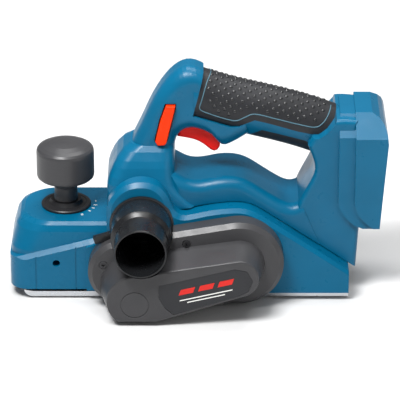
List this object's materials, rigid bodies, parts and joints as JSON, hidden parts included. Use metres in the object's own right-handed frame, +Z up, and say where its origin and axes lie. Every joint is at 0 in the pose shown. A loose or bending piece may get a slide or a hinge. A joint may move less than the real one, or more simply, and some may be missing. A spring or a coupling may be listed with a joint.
{
  "type": "electric hand planer",
  "caption": "Cordless hand planer with a D-shaped grip, depth knob, side chip outlet, belt cover, belt-driven cutter drum, adjustable front sole and a rear battery rail.",
  "frame": {"origin": "middle of the rear sole's running face", "axes": "+X towards the rear of the tool, +Z up, -Y is the belt side where the chip outlet leaves"},
  "size_m": [0.3058, 0.1526, 0.1892],
  "materials": {
    "blue_cast": "satin blue paint",
    "blue_shell": "fine textured blue",
    "black_plastic": "fine textured black",
    "gloss_black": "smooth black",
    "soft_grip": "soft moulded rubber",
    "plate": "satin dark grey",
    "red": "smooth red",
    "orange": "smooth orange-red",
    "sole": "milled",
    "cast_alu": "cast and turned",
    "steel": "bright",
    "dark_steel": "black oxide",
    "magnet": "sintered",
    "copper": "enamelled copper",
    "brass": "plain",
    "carbon": "pressed carbon",
    "belt": "ribbed",
    "wire": "wire sleeve",
    "board": "coated board",
    "dial": "black with pale graduations"
  },
  "bodies": {
    "frame": {"base_body": "blue_cast", "housing_left": "blue_shell", "housing_right": "blue_shell", "housing_screws": "dark_steel", "grip_left": "soft_grip", "grip_right": "soft_grip", "grip_underside": "soft_grip", "rear_sole": "sole", "sole_screws": "steel", "shoe_spring": "steel", "bearing_outer_races": "steel", "drum_bearing_balls": "steel", "drive_belt": "belt", "motor_can": "dark_steel", "motor_magnets": "magnet", "motor_end_bell": "black_plastic", "carbon_brushes": "carbon", "belt_cover": "black_plastic", "name_plate": "plate", "belt_cover_screws": "dark_steel", "chip_duct": "black_plastic", "duct_cap": "black_plastic", "bearing_cover": "black_plastic", "bearing_cover_screws": "dark_steel", "motor_end_cover": "black_plastic", "trigger_pin": "steel", "switch_body": "gloss_black", "trigger_spring": "steel", "lock_off_spring": "steel", "foot_pin": "steel", "foot_spring": "steel", "terminal_block": "black_plastic", "battery_contacts": "brass", "wiring": "wire", "control_board": "board"},
    "knob": {"depth_knob": "black_plastic", "depth_scale_disc": "dial", "knob_threaded_hub": "brass", "knob_retaining_ring": "dark_steel"},
    "shoe": {"front_sole": "sole", "shoe_stud": "steel"},
    "drum": {"cutter_drum": "cast_alu", "planer_blades": "steel", "blade_clamps": "dark_steel", "blade_screws": "dark_steel", "drum_shaft": "steel", "drum_bearing_inner_races": "steel", "drum_pulley": "cast_alu", "drum_pulley_nut": "dark_steel"},
    "rotor": {"rotor_shaft": "steel", "rotor_core": "dark_steel", "rotor_windings": "copper", "commutator": "brass", "motor_bearing_inner_races": "steel", "cooling_fan": "black_plastic", "motor_pulley": "cast_alu"},
    "trigger": {"trigger": "red"},
    "lock_off": {"lock_off_button": "orange"},
    "ejector": {"chip_ejector": "gloss_black"},
    "foot": {"parking_foot": "black_plastic"}
  },
  "joints": [
    {"name": "knob_turn", "type": "hinge", "parent": "frame", "child": "knob", "pos_m": [-0.1518, 0, 0.0637], "axis": [0, 0, 1], "range_deg": [0, 150]},
    {"name": "shoe_lift", "type": "slide", "parent": "frame", "child": "shoe", "axis": [0, 0, 1], "range_m": [0, 0.0016], "deforming": ["shoe_spring"]},
    {"name": "rotor_spin", "type": "hinge", "parent": "frame", "child": "rotor", "pos_m": [-0.0108, 0, 0.04], "axis": [0, 1, 0], "continuous": true},
    {"name": "drum_spin", "type": "hinge", "parent": "frame", "child": "drum", "pos_m": [-0.0943, 0, 0.021], "axis": [0, 1, 0], "continuous": true},
    {"name": "trigger_pull", "type": "hinge", "parent": "frame", "child": "trigger", "pos_m": [-0.0528, 0, 0.141], "axis": [0, -1, 0], "range_deg": [0, 8]},
    {"name": "lock_off_press", "type": "slide", "parent": "frame", "child": "lock_off", "axis": [0, 1, 0], "range_m": [-0.0025, 0.0025]},
    {"name": "ejector_turn", "type": "hinge", "parent": "frame", "child": "ejector", "pos_m": [-0.0892, 0, 0.066], "axis": [0, 1, 0], "range_deg": [0, 30]},
    {"name": "foot_swing", "type": "hinge", "parent": "frame", "child": "foot", "pos_m": [0.0589, 0, 0.01], "axis": [0, 1, 0], "range_deg": [0, 35]}
  ],
  "couplings": [
    {"joint": "knob_turn", "follows": "shoe_lift", "rad_per_m": 1636.2},
    {"joint": "drum_spin", "follows": "rotor_spin", "ratio": 0.669}
  ]
}
